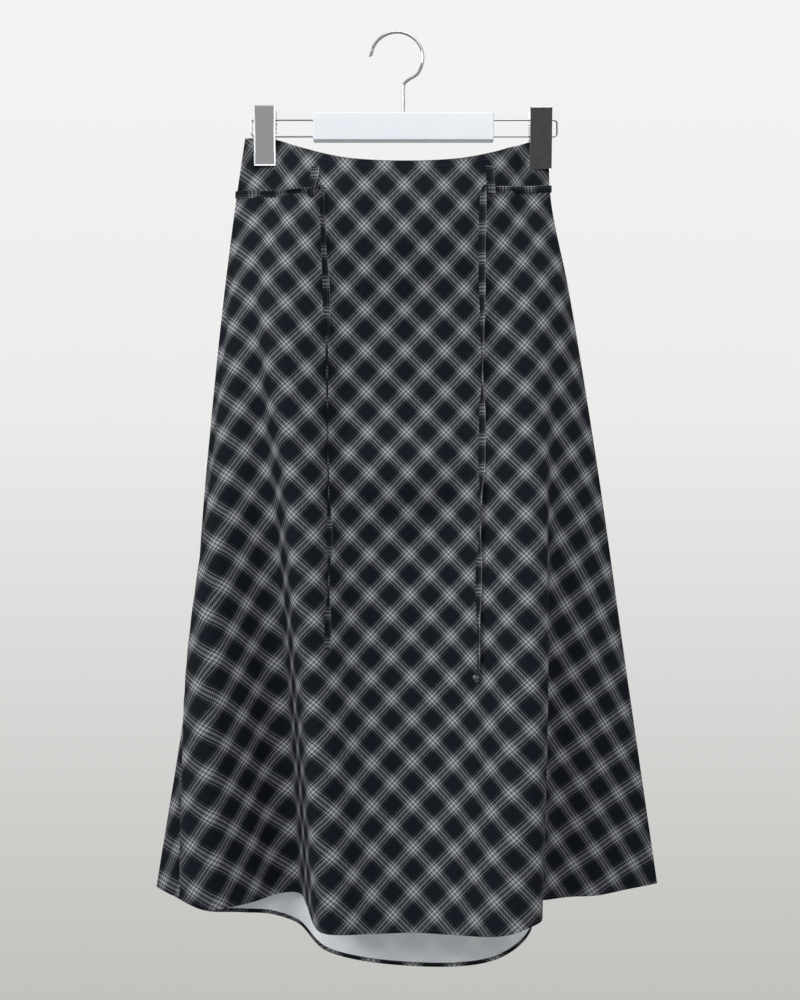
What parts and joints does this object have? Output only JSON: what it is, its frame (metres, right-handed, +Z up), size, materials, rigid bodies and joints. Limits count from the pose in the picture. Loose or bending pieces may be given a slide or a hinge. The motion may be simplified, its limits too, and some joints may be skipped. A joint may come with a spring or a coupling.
{
  "type": "checked skirt on a clip hanger",
  "caption": "Bias-cut A-line midi skirt in dark windowpane check with a narrow tie belt, hanging open and hollow from a two-clip hanger.",
  "frame": {"origin": "inside top of the hanger's hook, where it rests on a rail", "axes": "+Z up, the skirt's front faces -Y, +X to the right seen from the front"},
  "size_m": [0.5523, 0.1424, 1.0123],
  "materials": {
    "check_cloth": "matt woven cloth with a fine raised grain, dark windowpane check outside and pale reverse",
    "hanger_chrome": "polished chrome plate",
    "hanger_white": "satin white lacquered moulding"
  },
  "bodies": {
    "root": {"front_panel": "check_cloth", "back_panel": "check_cloth", "front_hem_turn": "check_cloth", "back_hem_turn": "check_cloth", "belt_loop_front_left": "check_cloth", "belt_loop_front_right": "check_cloth", "belt_loop_back_left": "check_cloth", "belt_loop_back_right": "check_cloth", "tie_back": "check_cloth", "tie_side_left": "check_cloth", "tie_side_right": "check_cloth", "tie_end_left": "check_cloth", "tie_end_right": "check_cloth", "tie_knot_right": "check_cloth", "hook": "hanger_chrome", "rod_left": "hanger_chrome", "rod_right": "hanger_chrome", "clip_left_front": "hanger_chrome", "clip_left_back": "hanger_chrome", "clip_left_carrier": "hanger_chrome", "clip_right_front": "hanger_chrome", "clip_right_back": "hanger_chrome", "clip_right_carrier": "hanger_chrome", "bar": "hanger_white"}
  },
  "joints": []
}
